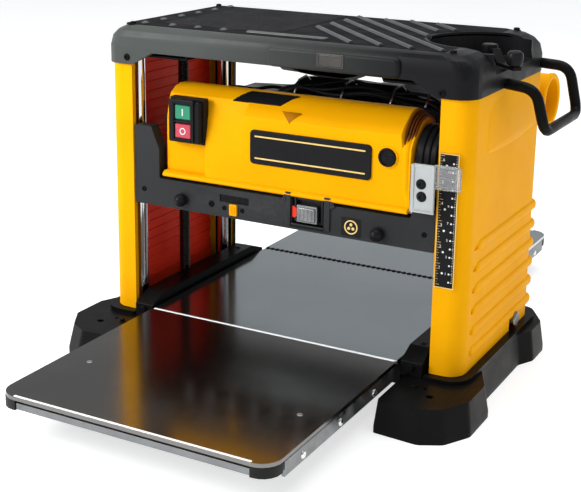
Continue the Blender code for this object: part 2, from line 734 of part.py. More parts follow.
def belt_outline(first, r1, second, r2, steps=9):
    """The line round two circles."""
    along = second - first
    base = math.atan2(along.y, along.x)
    lean = math.acos((r1 - r2) / along.length)
    points = []
    for k in range(steps + 1):
        a = base + lean + (2 * math.pi - 2 * lean) * k / steps
        points.append(first + r1 * Vector((math.cos(a), math.sin(a))))
    for k in range(steps + 1):
        a = base - lean + 2 * lean * k / steps
        points.append(second + r2 * Vector((math.cos(a), math.sin(a))))
    return points


def feed_roller(name, y):
    """A rubber-covered feed roller with its two journals."""
    shoulder = ROLLER_R - 1
    profile = [
        (5, -195), (5, -166), (shoulder, -164), (ROLLER_R, -162),
        (ROLLER_R, 162), (shoulder, 164), (5, 166), (5, 195),
    ]
    return turned(name, profile, "x", (0, y, ROLLER_Z), RUBBER, 20)


def kickback_pawls():
    """Toothed pawls side by side on one shaft, in front of the infeed roller."""
    y, z = PAWL_Y, PAWL_Z
    made = rod("kickback_pawls", 4, -182, 182, "x", (0, y, z), ZINC, 12)
    for k in range(PAWLS):
        x = -154 + k * 308 / (PAWLS - 1)
        tooth = [(y - 5, z + 5), (y - 5, z - 4), (y + 6, z - 27), (y + 9, z - 27), (y + 6, z + 5)]
        join(made, prism(f"pawl_{k}", tooth, "yz", x - 3, x + 3, ZINC))
    return made


def motor_cover():
    """The yellow hood over the motor: straight front, round top, sides that lean in."""
    centre_y, centre_z, radius = MOTOR_Y, 307.0, 43.0
    profile = [(-129.5, 233.5), (-131, 240), (-131, 280)]
    for k in range(9):
        a = math.pi - math.pi * k / 8
        profile.append((centre_y + radius * math.cos(a), centre_z + radius * math.sin(a)))
    profile += [(centre_y + radius, 280), (centre_y + radius, 233.5)]
    bm = bmesh.new()
    rows = []
    for y, z in profile:
        lean = max(0.0, z - 290) / 60
        left, right = -165 + 30 * lean ** 1.3, 176 - 20 * lean ** 1.3
        rows.append([bm.verts.new(Vector((left + (right - left) * t, y, z))) for t in (0, 0.04, 0.5, 0.96, 1)])
    for low, high in zip(rows, rows[1:]):
        for k in range(len(low) - 1):
            bm.faces.new((low[k], low[k + 1], high[k + 1], high[k]))
    bm.faces.new([row[0] for row in rows])
    bm.faces.new([row[-1] for row in reversed(rows)])
    made = finish("motor_cover", bm, YELLOW, 35)
    shell = made.modifiers.new("shell", "SOLIDIFY")
    shell.thickness = 3 * MM
    shell.offset = -1
    shell.use_even_offset = True
    return cut(made, rod("shaft_hole", JOURNAL_R + 2, -180, -130, "x", (0, MOTOR_Y, MOTOR_Z), YELLOW, 16))


def motor_end_cap():
    """The vented end of the motor, out of the cover's right end."""
    profile = [
        (34, 177), (38, 178), (38, 186), (36, 187), (36, 189), (38, 190), (38, 194),
        (36, 195), (36, 197), (38, 198), (38, 202), (34, 205), (12, 206),
    ]
    return turned("motor_end_cap", profile, "x", (0, MOTOR_Y, MOTOR_Z - 4), BLACK, 24)


def switch_box():
    made = block("switch_box", (-152, -141, 283), (-106, -132, 337), BLACK, 2.0)
    for z in (START_Z, STOP_Z):
        low, high = z - BUTTON_HALF - 0.5, z + BUTTON_HALF + 0.5
        cut(made, block(f"switch_well_{z}", (-141.5, -150, low), (-117.5, -133.2, high), BLACK))
    return made


def button(name, z, spec):
    return block(name, (-141, -142.5, z - BUTTON_HALF), (-118, -136.5, z + BUTTON_HALF), spec, 1.0)


def brush_cap():
    profile = [(11, 131.3), (11, 134), (9, 135.5), (3, 135.5)]
    return turned("brush_cap", profile, "y", (147, 0, 297), BLACK, 20, sign=-1)


def name_plate():
    return block("name_plate", (-37, -133.4, 268), (126, -131.3, 310), BLACK, 0.6, 1)


def gauge_block():
    """The spring-loaded bar of the material-removal gauge."""
    return block("gauge_block", (31, -139, 204), (59, -128, 226), ZINC, 1.2)


def index_tab():
    """The yellow tab under the small window on the left of the beam."""
    return block("index_tab", (-65, -137.5, 197), (-54, -134.8, 212), YELLOW, 0.6, 1)


def beam_cap(side):
    """A domed cap over a bolt on the front of the carriage."""
    x, z = (138, 205) if side > 0 else (-136, 207)
    profile = [(6, 134.8), (8, 136), (8.5, 140), (7, 144), (4, 146.5), (1, 147.2)]
    return turned("beam_cap_" + side_name(side), profile, "y", (x, 0, z), BLACK, 16, sign=-1)


def pointer_bracket():
    """The folded steel bracket that holds the reading window in front of the scale."""
    made = block("pointer_bracket", (183, -150, 243), (212, -147.5, 299), ZINC)
    leg = block("bracket_leg", (183, -149, 243), (186, -126, 262), ZINC)
    tab = block("bracket_foot", (183, -134, RIGHT_EAR + GAP), (204, -124, 246), ZINC)
    return join(made, leg, tab)


def pointer_window():
    return block("pointer_window", (212.3, -150, 273), (243, -147, 300), CLEAR, 0.5, 1)


def chip_chute():
    """The black chute behind the motor that takes chips to the rear, with a wavy top edge."""
    outline = rounded([
        (-163, 234, 1), (175, 234, 1), (175, 332, 6),
        (120, 340, 12), (94, 352, 10), (66, 350, 12), (34, 340, 14),
        (-20, 342, 14), (-56, 340, 10), (-72, 326, 8), (-163, 321, 2),
    ], 3)
    return prism("chip_chute", outline, "xz", 22, 92, BLACK, 40)


def dust_hood():
    """The rear hood with its round outlet on the right."""
    made = block("dust_hood", (-150, 119, 240), (170, 150, 330), YELLOW, 6.0, 3)
    axis = (0, DUCT_Y, DUCT_Z)
    duct = turned("hood_duct", [(30, 130), (34, 134), (34, 246), (32.5, 250), (31, 251)], "x", axis, YELLOW, 28)
    join(made, duct, block("hood_neck", (-120, 92.5, 250), (120, 122, 300), YELLOW))
    return cut(made, rod("hood_outlet", 28, 180, 260, "x", axis, YELLOW, 24))


# ---------------------------------------------------------------- assembly

def set_origin(name, point):
    """Moves an object's origin to a point, in millimetres, and leaves its shape where it is."""
    piece = bpy.data.objects[name]
    offset = Vector(point) * MM
    piece.data.transform(Matrix.Translation(-offset))
    piece.location = offset


def set_origins():
    """Each piece that turns has its origin on its joint's axis."""
    angle = math.radians(CRANK_TURN)
    grip = (SCREW_X + CRANK_REACH * math.cos(angle), SCREW_Y + CRANK_REACH * math.sin(angle), RECESS_FLOOR)
    set_origin("crank_knob", grip)
    set_origin("crank_arm", (SCREW_X, SCREW_Y, RECESS_FLOOR))
    set_origin("turret_knob", (HOUSING_OUT, TURRET_Y, TURRET_Z))
    for side in (-1, 1):
        for piece in ("lead_screw_", "screw_sprocket_"):
            set_origin(piece + side_name(side), (side * SCREW_X, SCREW_Y, 0))
        for wing_name, end in (("infeed", -1), ("outfeed", 1)):
            set_origin(f"{wing_name}_corner_cap_{side_name(side)}", (0, end * HINGE_Y, HINGE_Z))
    for wing_name, end in (("infeed", -1), ("outfeed", 1)):
        set_origin(wing_name + "_table", (0, end * HINGE_Y, HINGE_Z))
        set_origin(wing_name + "_tray", (0, end * HINGE_Y, HINGE_Z))
    for piece in ("cutterhead", "knife_a", "knife_b", "cutterhead_pulley"):
        set_origin(piece, (0, HEAD_Y, HEAD_Z))
    set_origin("motor_pulley", (0, MOTOR_Y, MOTOR_Z))
    set_origin("infeed_roller", (0, HEAD_Y - ROLLER_OFFSET, ROLLER_Z))
    set_origin("outfeed_roller", (0, HEAD_Y + ROLLER_OFFSET, ROLLER_Z))
    set_origin("kickback_pawls", (0, PAWL_Y, PAWL_Z))


def build():
    clear_scene()
    table_bed()
    main_table()
    depth_scale()
    top_frame()
    turret_knob()
    sync_chain()
    crank_arm()
    crank_knob()
    top_cover()
    for side in (-1, 1):
        foot(side)
        side_rail(side)
        housing(side)
        lead_screw(side)
        screw_sprocket(side)
        carry_handle(side)
        beam_cap(side)
        for end in (-1, 1):
            column(side, end)
    for end in (-1, 1):
        wing(end)
    carriage_casting()
    cutterhead()
    knife(1, "a")
    knife(-1, "b")
    cutterhead_pulley()
    motor_body()
    motor_pulley()
    drive_belt()
    feed_roller("infeed_roller", HEAD_Y - ROLLER_OFFSET)
    feed_roller("outfeed_roller", HEAD_Y + ROLLER_OFFSET)
    kickback_pawls()
    motor_cover()
    motor_end_cap()
    switch_box()
    button("start_button", START_Z, GREEN)
    button("stop_button", STOP_Z, RED)
    brush_cap()
    name_plate()
    gauge_block()
    index_tab()
    pointer_bracket()
    pointer_window()
    chip_chute()
    dust_hood()
    set_origins()


build()
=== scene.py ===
"""The looks of the thickness planer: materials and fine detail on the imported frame.

Lengths are in millimetres and are turned into metres where meshes are made. X runs across
the machine, Y along the feed and Z is up, as in the frame."""

import json
import math

import bmesh
import bpy
from mathutils import Matrix, Vector


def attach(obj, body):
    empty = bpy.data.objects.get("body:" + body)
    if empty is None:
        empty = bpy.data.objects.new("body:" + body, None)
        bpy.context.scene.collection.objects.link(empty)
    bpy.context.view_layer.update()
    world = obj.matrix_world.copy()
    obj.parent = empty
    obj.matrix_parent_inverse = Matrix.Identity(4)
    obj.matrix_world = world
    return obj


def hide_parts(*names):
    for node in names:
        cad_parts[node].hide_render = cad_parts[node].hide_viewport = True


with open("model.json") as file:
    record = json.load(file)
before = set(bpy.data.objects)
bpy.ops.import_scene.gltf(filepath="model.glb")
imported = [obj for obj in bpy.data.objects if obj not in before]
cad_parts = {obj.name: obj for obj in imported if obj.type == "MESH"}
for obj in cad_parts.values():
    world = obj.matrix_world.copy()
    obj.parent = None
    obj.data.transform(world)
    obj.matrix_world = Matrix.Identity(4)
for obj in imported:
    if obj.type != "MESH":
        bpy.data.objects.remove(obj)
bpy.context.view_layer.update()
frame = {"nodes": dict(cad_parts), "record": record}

MM = 0.001


# ---------------------------------------------------------------- view

CAMERA_PLACE = (697.1, -1387.1, 631.1)
CAMERA_YAW = 28.38
CAMERA_PITCH = -14.83
CAMERA_ROLL = 0.8
LENS = 75.56
SENSOR = 36.0
SHIFT_Y = -0.1136


def camera():
    made = bpy.data.objects.new("camera", bpy.data.cameras.new("camera"))
    bpy.context.scene.collection.objects.link(made)
    made.data.sensor_width = SENSOR
    made.data.lens = LENS
    made.data.shift_y = SHIFT_Y
    made.data.clip_end = 20
    made.location = Vector(CAMERA_PLACE) * MM
    turn = Matrix.Rotation(math.radians(CAMERA_YAW), 3, "Z")
    tilt = Matrix.Rotation(math.radians(90 + CAMERA_PITCH), 3, "X")
    roll = Matrix.Rotation(math.radians(CAMERA_ROLL), 3, "Z")
    made.rotation_mode = "QUATERNION"
    made.rotation_quaternion = (turn @ tilt @ roll).to_quaternion()
    bpy.context.scene.camera = made


# Each light's name, place, target and size in metres, and power in watts
LIGHTS = (
    ("key", (-1.0, -1.35, 1.05), (-0.1, 0, 0.3), (0.9, 0.7), 26),
    ("top", (0, 0.2, 2.6), (0, 0, 0), (3.0, 2.4), 60),
    ("side", (2.4, -0.6, 1.0), (0, 0, 0.2), (1.2, 1.2), 1),
)
FLOOR_SIZE = 8  # metres
HORIZON, ZENITH = (1.0, 1.0, 1.0), (0.36, 0.37, 0.38)
SKY_FADE = (0.09, 0.3)  # where the horizon's colour ends and the zenith's begins


def area_light(name, place, target, size, power):
    made = bpy.data.objects.new(name, bpy.data.lights.new(name, "AREA"))
    bpy.context.scene.collection.objects.link(made)
    made.data.shape = "RECTANGLE"
    made.data.size, made.data.size_y = size
    made.data.energy = power
    made.location = place
    made.rotation_mode = "QUATERNION"
    made.rotation_quaternion = (Vector(target) - Vector(place)).to_track_quat("-Z", "Y")


def studio():
    """A pale floor, a bright world that dims overhead and three large soft lights."""
    world = bpy.data.worlds.new("studio")
    bpy.context.scene.world = world
    bpy.context.scene.view_settings.view_transform = "Standard"
    world.use_nodes = True
    backdrop = world.node_tree.nodes["Background"]
    tree = world.node_tree
    direction = tree.nodes.new("ShaderNodeTexCoord")
    height = tree.nodes.new("ShaderNodeSeparateXYZ")
    tree.links.new(direction.outputs["Generated"], height.inputs["Vector"])
    glow = ramp(tree, height.outputs["Z"], HORIZON, ZENITH, SKY_FADE)
    tree.links.new(glow, backdrop.inputs["Color"])
    bm = bmesh.new()
    bmesh.ops.create_grid(bm, x_segments=1, y_segments=1, size=FLOOR_SIZE)
    mesh = bpy.data.meshes.new("floor")
    bm.to_mesh(mesh)
    bm.free()
    floor = bpy.data.objects.new("floor", mesh)
    bpy.context.scene.collection.objects.link(floor)
    floor.data.materials.append(floor_material())
    for light in LIGHTS:
        area_light(*light)


# ---------------------------------------------------------------- materials

def shader_of(name, colour, roughness, metallic=0.0):
    made = bpy.data.materials.new(name)
    made.use_nodes = True
    shader = made.node_tree.nodes["Principled BSDF"]
    shader.inputs["Base Color"].default_value = (*colour, 1)
    shader.inputs["Roughness"].default_value = roughness
    shader.inputs["Metallic"].default_value = metallic
    return made, made.node_tree, shader


def noise(tree, scale, stretch=(1, 1, 1), detail=3.0):
    """A noise texture in object space, in metres, stretched along the axes."""
    place = tree.nodes.new("ShaderNodeTexCoord")
    mapping = tree.nodes.new("ShaderNodeMapping")
    mapping.inputs["Scale"].default_value = stretch
    tree.links.new(place.outputs["Object"], mapping.inputs["Vector"])
    made = tree.nodes.new("ShaderNodeTexNoise")
    made.inputs["Scale"].default_value = scale
    made.inputs["Detail"].default_value = detail
    made.inputs["Roughness"].default_value = 0.55
    tree.links.new(mapping.outputs["Vector"], made.inputs["Vector"])
    return made


def ramp(tree, source, low, high, positions=(0.35, 0.65)):
    """Maps a texture's value to between two numbers or two colours."""
    if isinstance(low, tuple):
        made = tree.nodes.new("ShaderNodeValToRGB")
        made.color_ramp.elements[0].color = (*low, 1)
        made.color_ramp.elements[1].color = (*high, 1)
        made.color_ramp.elements[0].position = positions[0]
        made.color_ramp.elements[1].position = positions[1]
        tree.links.new(source, made.inputs["Fac"])
        return made.outputs["Color"]
    made = tree.nodes.new("ShaderNodeMapRange")
    made.inputs["From Min"].default_value = positions[0]
    made.inputs["From Max"].default_value = positions[1]
    made.inputs["To Min"].default_value = low
    made.inputs["To Max"].default_value = high
    tree.links.new(source, made.inputs["Value"])
    return made.outputs["Result"]


def bump(tree, shader, source, strength, distance):
    made = tree.nodes.new("ShaderNodeBump")
    made.inputs["Strength"].default_value = strength
    made.inputs["Distance"].default_value = distance
    tree.links.new(source, made.inputs["Height"])
    if shader.inputs["Normal"].is_linked:
        tree.links.new(shader.inputs["Normal"].links[0].from_socket, made.inputs["Normal"])
    tree.links.new(made.outputs["Normal"], shader.inputs["Normal"])


def wear(tree, colour, worn, amount):
    """Mixes in a paler colour along edges, from how pointed the surface is, broken up by noise."""
    geometry = tree.nodes.new("ShaderNodeNewGeometry")
    pointed = ramp(tree, geometry.outputs["Pointiness"], 0.0, amount, (0.52, 0.62))
    speckle = noise(tree, 220, detail=4)
    product = tree.nodes.new("ShaderNodeMath")
    product.operation = "MULTIPLY"
    tree.links.new(pointed, product.inputs[0])
    tree.links.new(ramp(tree, speckle.outputs[0], 0.2, 1.0), product.inputs[1])
    mix = tree.nodes.new("ShaderNodeMix")
    mix.data_type = "RGBA"
    tree.links.new(product.outputs[0], mix.inputs["Factor"])
    tree.links.new(colour, mix.inputs["A"])
    mix.inputs["B"].default_value = (*worn, 1)
    return mix.outputs["Result"]


def moulded(name, colour, shade, roughness, grain, gloss=0.5, worn=None):
    """Moulded or sprayed surfaces: a slow drift of colour, a fine grain and edges rubbed paler."""
    made, tree, shader = shader_of(name, colour, roughness)
    drift = noise(tree, 9, detail=3)
    tint = ramp(tree, drift.outputs[0], colour, shade, (0.3, 0.75))
    if worn:
        tint = wear(tree, tint, worn, 0.5)
    tree.links.new(tint, shader.inputs["Base Color"])
    smear = noise(tree, 28, detail=5)
    sheen = ramp(tree, smear.outputs[0], roughness - 0.05, roughness + 0.09)
    tree.links.new(sheen, shader.inputs["Roughness"])
    speckle = noise(tree, grain, detail=2)
    bump(tree, shader, speckle.outputs[0], 0.18, 0.00012)
    shader.inputs["Specular IOR Level"].default_value = gloss
    return made


def metal(name, colour, shade, roughness, grain, stretch, depth=0.00003):
    """Bare or plated metal with fine lines left by grinding, drawn along one axis."""
    made, tree, shader = shader_of(name, colour, roughness, 1.0)
    drift = noise(tree, 6, detail=4)
    tint = ramp(tree, drift.outputs[0], colour, shade, (0.3, 0.7))
    tree.links.new(tint, shader.inputs["Base Color"])
    lines = noise(tree, grain, stretch, 4)
    sheen = ramp(tree, lines.outputs[0], roughness * 0.7, roughness * 1.4)
    tree.links.new(sheen, shader.inputs["Roughness"])
    bump(tree, shader, lines.outputs[0], 0.25, depth)
    return made


def deepening(name, left, right, roughness, grain, gloss):
    """A moulding whose colour deepens from left to right across the machine: painted shade standing in for
    the light falling off away from the key light at the left.
    """
    made = moulded(name, left, right, roughness, grain, gloss)
    tree = made.node_tree
    shader = tree.nodes["Principled BSDF"]
    place = tree.nodes.new("ShaderNodeTexCoord")
    across = tree.nodes.new("ShaderNodeSeparateXYZ")
    tree.links.new(place.outputs["Object"], across.inputs["Vector"])
    fade = ramp(tree, across.outputs["X"], 0.0, 1.0, (-0.12, 0.17))
    tree.links.new(ramp(tree, fade, left, right, (0.0, 1.0)), shader.inputs["Base Color"])
    return made


def floor_material():
    made, tree, shader = shader_of("studio_floor", (0.86, 0.87, 0.88), 0.55)
    drift = noise(tree, 1.4, detail=2)
    tint = ramp(tree, drift.outputs[0], (0.60, 0.605, 0.61), (0.64, 0.645, 0.65))
    tree.links.new(tint, shader.inputs["Base Color"])
    shader.inputs["Emission Color"].default_value = (1, 1, 1, 1)
    shader.inputs["Emission Strength"].default_value = 0.62
    return made


def clear_material():
    made, tree, shader = shader_of("clear_acrylic", (0.93, 0.95, 0.96), 0.06)
    shader.inputs["Transmission Weight"].default_value = 0.9
    shader.inputs["IOR"].default_value = 1.49
    haze = noise(tree, 40, detail=2)
    tree.links.new(ramp(tree, haze.outputs[0], 0.01, 0.05), shader.inputs["Roughness"])
    return made


# Moulded and painted finishes: colour, shade, roughness, grain, gloss, colour of rubbed edges
MOULDED = {
    "yellow_plastic": ((0.90, 0.41, 0.001), (0.84, 0.36, 0.001), 0.4, 900, 0.02, (0.90, 0.44, 0.01)),
    "black_plastic": ((0.006, 0.006, 0.007), (0.011, 0.011, 0.012), 0.36, 700, 0.1,
        (0.022, 0.022, 0.024)),
    "black_paint": ((0.003, 0.003, 0.003), (0.006, 0.006, 0.006), 0.32, 520, 0.06, (0.018, 0.018, 0.018)),
    "dark_grey_paint": ((0.014, 0.0145, 0.0155), (0.020, 0.021, 0.022), 0.42, 420, 0.2,
        (0.05, 0.05, 0.055)),
    "rubber": ((0.006, 0.006, 0.006), (0.010, 0.010, 0.010), 0.5, 380, 0.2),
    "green_plastic": ((0.004, 0.20, 0.10), (0.008, 0.24, 0.12), 0.35, 900),
    "red_plastic": ((0.46, 0.03, 0.06), (0.52, 0.05, 0.08), 0.35, 900),
    # rib grey, lighter than the panel: painted highlight
    "rib_painted_highlight": ((0.040, 0.042, 0.043), (0.050, 0.052, 0.053), 0.33, 700, 0.5),
    "panel_black": ((0.004, 0.004, 0.005), (0.007, 0.007, 0.008), 0.6, 300, 0.04),
    # amber: painted shade in the hood's pointer dimple
    "amber_painted_shade": ((0.40, 0.15, 0.001), (0.36, 0.13, 0.001), 0.5, 900, 0.05),
    "brown_shade": ((0.16, 0.04, 0.003), (0.09, 0.02, 0.002), 0.45, 500, 0.2),
    "pale_ink": ((0.85, 0.60, 0.20), (0.80, 0.54, 0.16), 0.5, 900),
    "marking_ink": ((0.80, 0.80, 0.78), (0.70, 0.70, 0.68), 0.5, 900),
    # deep red: the gauge needle's own colour, and painted shade inside the housings
    "deep_red_painted_glow": ((0.95, 0.05, 0.015), (0.75, 0.032, 0.010), 0.5, 600, 0.2),
    "hazy_plate": ((0.36, 0.38, 0.38), (0.50, 0.52, 0.52), 0.22, 500),
    # near-white: painted highlight on the tables' edges
    "white_painted_highlight": ((0.92, 0.93, 0.94), (0.86, 0.87, 0.88), 0.3, 200),
}
# Bare and plated metals: colour, shade, roughness, grain, stretch of its lines, their depth
METALS = {
    "polished_steel": ((0.44, 0.48, 0.50), (0.50, 0.54, 0.56), 0.14, 60, (60, 1, 1)),
    "zinc_steel": ((0.42, 0.43, 0.45), (0.52, 0.53, 0.54), 0.33, 120, (1, 1, 1)),
    "chrome": ((0.66, 0.67, 0.69), (0.74, 0.75, 0.76), 0.1, 200, (1, 1, 0.1)),
    "dark_steel": ((0.05, 0.048, 0.045), (0.09, 0.085, 0.08), 0.4, 160, (1, 1, 1)),
    "grey_metal": ((0.17, 0.175, 0.18), (0.22, 0.225, 0.23), 0.34, 60, (1, 1, 1), 0.00001),
    "dark_mirror": ((0.155, 0.15, 0.145), (0.20, 0.19, 0.18), 0.17, 60, (60, 1, 1)),
}
FINISHES = {name: moulded(name, *row) for name, row in MOULDED.items()}
FINISHES.update({name: metal(name, *row) for name, row in METALS.items()})
FINISHES["clear_acrylic"] = clear_material()
# The cover's grey fading to black from left to right is painted shade.
FINISHES["cover_plastic_painted_shade"] = deepening(
    "cover_plastic_painted_shade", (0.062, 0.068, 0.064), (0.006, 0.006, 0.007), 0.38, 700, 0.12
)
# The red's faint glow is painted light, standing in for light bounced inside the yellow housings.
deep_red_painted_glow = FINISHES["deep_red_painted_glow"].node_tree.nodes["Principled BSDF"]
deep_red_painted_glow.inputs["Emission Color"].default_value = (0.5, 0.02, 0.008, 1)
deep_red_painted_glow.inputs["Emission Strength"].default_value = 0.06

# Frame pieces whose finish isn't their slot's own
FINISH_OF = {
    "infeed_table": "dark_mirror", "pointer_bracket": "hazy_plate", "infeed_tray": "grey_metal",
    "outfeed_tray": "grey_metal", "gauge_block": "grey_metal", "turret_knob": "grey_metal",
    "crank_arm": "black_paint", "crank_knob": "black_plastic",
}


# ---------------------------------------------------------------- the frame's own pieces

# Width of the rounding on the edges of each of the frame's pieces, where it isn't DEFAULT_EDGE
DEFAULT_EDGE = 0.8
EDGES = {
    "base_foot_left": 1.6, "base_foot_right": 1.6, "main_table": 0.5, "infeed_table": 2.2,
        "outfeed_table": 1.8,
    "depth_scale": 0.3, "name_plate": 0.4, "index_tab": 0.3, "pointer_window": 0.3, "pointer_bracket": 0.4,
    "sync_chain": 0.4, "drive_belt": 0.6, "housing_left": 0.7, "housing_right": 0.7, "top_cover": 1.2,
    "motor_cover": 1.0, "dust_hood": 1.0, "carriage_casting": 1.2, "carry_handle_left": 0.0,
    "carry_handle_right": 0.0, "knife_a": 0.2, "knife_b": 0.2, "motor_end_cap": 0.4,
}


def soften(node, width):
    """Rounds a frame piece's sharp edges and shades it smoothly, leaving its own mesh as it is."""
    mesh = node.data
    if "custom_normal" in mesh.attributes:
        mesh.attributes.remove(mesh.attributes["custom_normal"])
    mesh.shade_smooth()
    weld = node.modifiers.new("weld", "WELD")
    weld.merge_threshold = 0.00001
    if width:
        rounding = node.modifiers.new("rounding", "BEVEL")
        rounding.width = width * MM
        rounding.segments = 2
        rounding.limit_method = "ANGLE"
        rounding.angle_limit = math.radians(38)
        rounding.use_clamp_overlap = True
    normals = node.modifiers.new("normals", "WEIGHTED_NORMAL")
    normals.weight = 60
    normals.keep_sharp = False


def dress_frame():
    slots = {row["node"]: row["material_slot"] for row in frame["record"]["subparts"]}
    for name, node in frame["nodes"].items():
        node.data.materials.clear()
        node.data.materials.append(FINISHES[FINISH_OF.get(name, slots[name])])
        soften(node, EDGES.get(name, DEFAULT_EDGE))


# ---------------------------------------------------------------- building fine pieces

def front(u, v, w):
    """On a face turned to the infeed side: u across, v up, w out of the face."""
    return Vector((u, -w, v))


def side(u, v, w):
    """On a face turned to the right: u along the feed, v up, w out of the face."""
    return Vector((w, u, v))


def top(u, v, w):
    return Vector((u, v, w))


def skin(bm, rows):
    """Faces between rows of vertices, and over the first and the last row."""
    for low, high in zip(rows, rows[1:]):
        for k in range(len(low)):
            after = (k + 1) % len(low)
            bm.faces.new((low[k], low[after], high[after], high[k]))
    bm.faces.new(list(reversed(rows[0])))
    bm.faces.new(rows[-1])


def rows_to_body(bm, place, rows):
    """A closed body through rows of points, each a list of (u, v) and the height w it lies at."""
    skin(bm, [[bm.verts.new(place(u, v, w)) for u, v in points] for points, w in rows])


def plate(bm, place, points, low, high):
    rows_to_body(bm, place, [(points, low), (points, high)])


def slab(bm, place, x, y, low, high):
    """A rectangular plate; x and y are its limits across and along the face."""
    plate(bm, place, [(x[0], y[0]), (x[1], y[0]), (x[1], y[1]), (x[0], y[1])], low, high)


def oblong(x0, x1, y0, y1, radius, steps=4):
    """A rectangle's outline with rounded corners."""
    points = []
    for x, y, start in (
        (x1 - radius, y1 - radius, 0), (x0 + radius, y1 - radius, 90),
        (x0 + radius, y0 + radius, 180), (x1 - radius, y0 + radius, 270),
    ):
        for k in range(steps + 1):
            a = math.radians(start + 90 * k / steps)
            points.append((x + radius * math.cos(a), y + radius * math.sin(a)))
    return points


def block(bm, x, y, z):
    slab(bm, top, x, y, *z)


def pillow(bm, place, x, y, radius, low, high, roll, steps=3):
    """A rounded rectangle standing off a face, its rim rolled over."""
    rows = [(oblong(*x, *y, radius), low)]
    for k in range(steps + 1):
        a = math.pi / 2 * k / steps
        inset = roll * (1 - math.cos(a))
        corner = max(radius - inset, 0.05)
        outline = oblong(x[0] + inset, x[1] - inset, y[0] + inset, y[1] - inset, corner)
        rows.append((outline, high - roll + roll * math.sin(a)))
    rows_to_body(bm, place, rows)


def circle(centre, radius, steps):
    turn = 2 * math.pi / steps
    return [
        (centre[0] + radius * math.cos(k * turn), centre[1] + radius * math.sin(k * turn))
        for k in range(steps)
    ]


def turned(bm, place, centre, profile, steps=20):
    """A body turned about w through centre, from (radius, height) pairs."""
    rows_to_body(bm, place, [(circle(centre, radius, steps), w) for radius, w in profile])


def hoop(bm, place, centre, inner, outer, low, high, steps=28):
    """A flat ring."""
    loops = [
        [bm.verts.new(place(u, v, w)) for u, v in circle(centre, radius, steps)]
        for radius, w in ((inner, low), (outer, low), (outer, high), (inner, high))
    ]
    for near, far in zip(loops, loops[1:] + loops[:1]):
        for k in range(steps):
            after = (k + 1) % steps
            bm.faces.new((near[k], near[after], far[after], far[k]))


def bar_frame(bm, place, outer, inner, low, high):
    """Four bars round an opening; outer and inner are (x0, x1, y0, y1)."""
    a, b, c, d = outer
    e, f, g, h = inner
    for x0, x1, y0, y1 in ((a, e, c, d), (f, b, c, d), (e, f, c, g), (e, f, h, d)):
        slab(bm, place, (x0, x1), (y0, y1), low, high)


def tube(bm, points, radius, steps=10):
    """A round bar along a line of points."""
    points = [Vector(p) for p in points]
    rows = []
    across = None
    for k, point in enumerate(points):
        ahead = (points[min(k + 1, len(points) - 1)] - points[max(k - 1, 0)]).normalized()
        if across is None:
            across = ahead.orthogonal().normalized()
        across = (across - ahead * across.dot(ahead)).normalized()
        other = ahead.cross(across)
        rows.append([
            bm.verts.new(point + (across * math.cos(a) + other * math.sin(a)) * radius)
            for a in (2 * math.pi * n / steps for n in range(steps))
        ])
    skin(bm, rows)


def hex_bolt(bm, place, centre, low, across=5.0):
    """A washer, a six-sided head and a dished top."""
    turned(bm, place, centre, [(across * 1.35, low), (across * 1.35, low + 1)], 20)
    head = [
        (across, low + 1), (across, low + 3.6), (across * 0.8, low + 4.2), (across * 0.4, low + 3.8),
    ]
    turned(bm, place, centre, head, 6)


def screw_head(bm, place, centre, low, radius, proud=1.6):
    """A round head with a cross recess, left as a lower middle."""
    profile = [
        (radius, low), (radius, low + proud * 0.5), (radius * 0.8, low + proud),
        (radius * 0.42, low + proud), (radius * 0.34, low + proud * 0.35),
    ]
    turned(bm, place, centre, profile, 16)


def piece(name, body, finish, shape, edge=0.3, replaced=()):
    """One dressing piece: shape fills a mesh in millimetres; it rides body and takes finish."""
    bm = bmesh.new()
    shape(bm)
    bmesh.ops.recalc_face_normals(bm, faces=bm.faces)
    bmesh.ops.scale(bm, vec=(MM, MM, MM), verts=bm.verts)
    mesh = bpy.data.meshes.new(name)
    bm.to_mesh(mesh)
    bm.free()
    made = bpy.data.objects.new(name, mesh)
    bpy.context.scene.collection.objects.link(made)
    mesh.materials.append(FINISHES[finish])
    soften(made, edge)
    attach(made, body)
    if replaced:
        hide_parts(*replaced)
    return made


# ---------------------------------------------------------------- top cover

COVER_FLOOR = 424.0  # the panel's level; the ribs reach the cover's full height
COVER_TOP = 427.0
COVER_FRONT = 141.0
PANEL_RISE = 412.0  # above this level the cover's own surface is lowered to the panel's
RIB_R = 4.0
RIB_SLOPE = 1.05
RECESS = (218.0, -6.0, 79.0)  # crank recess: centre and the radius the ribs stop at


def cover_shell(bm):
    """The cover itself, its panel lowered so that the ribs stand on it."""
    bm.from_mesh(frame["nodes"]["top_cover"].data)
    bmesh.ops.scale(bm, vec=(1 / MM, 1 / MM, 1 / MM), verts=bm.verts)
    for vert in bm.verts:
        rise = min(max((vert.co.z - PANEL_RISE) / (COVER_TOP - PANEL_RISE), 0), 1)
        vert.co.z -= (COVER_TOP - COVER_FLOOR) * rise
    pillow(bm, front, (-10, 162), (391.5, 416), 8, COVER_FRONT - 6, COVER_FRONT + 4.2, 5, 6)


def cover_panel(bm):
    """The dark ribbed panel, stopping short of the crank recess."""
    x, y, radius = RECESS[0], RECESS[1], RECESS[2] - 1
    points = oblong(-229, 207, -126, 106, 10)
    right = [p for p in points if p[0] > 0]
    lower = [p for p in right if p[1] < 0]
    upper = [p for p in right if p[1] > 0]
    arc = [
        (x + radius * math.cos(a), y + radius * math.sin(a))
        for a in (math.radians(262 - 164 * k / 24) for k in range(25))
    ]
    left = [p for p in points if p[0] < 0]
    plate(bm, top, upper + left + lower + arc, COVER_FLOOR - 1, COVER_FLOOR + 0.35)


def rib_ends():
    """The diagonal ribs: four from the middle to the front edge, three from the rear to the recess."""
    for k in range(4):
        y = -20 + 40 * k
        yield (-5, y), (-5 + (y + 119) / RIB_SLOPE, -119)
    for x, y, reach in ((37, 95, 107), (72, 99, 66), (112, 92, 42)):
        yield (x, y), (x + reach, y - RIB_SLOPE * reach)


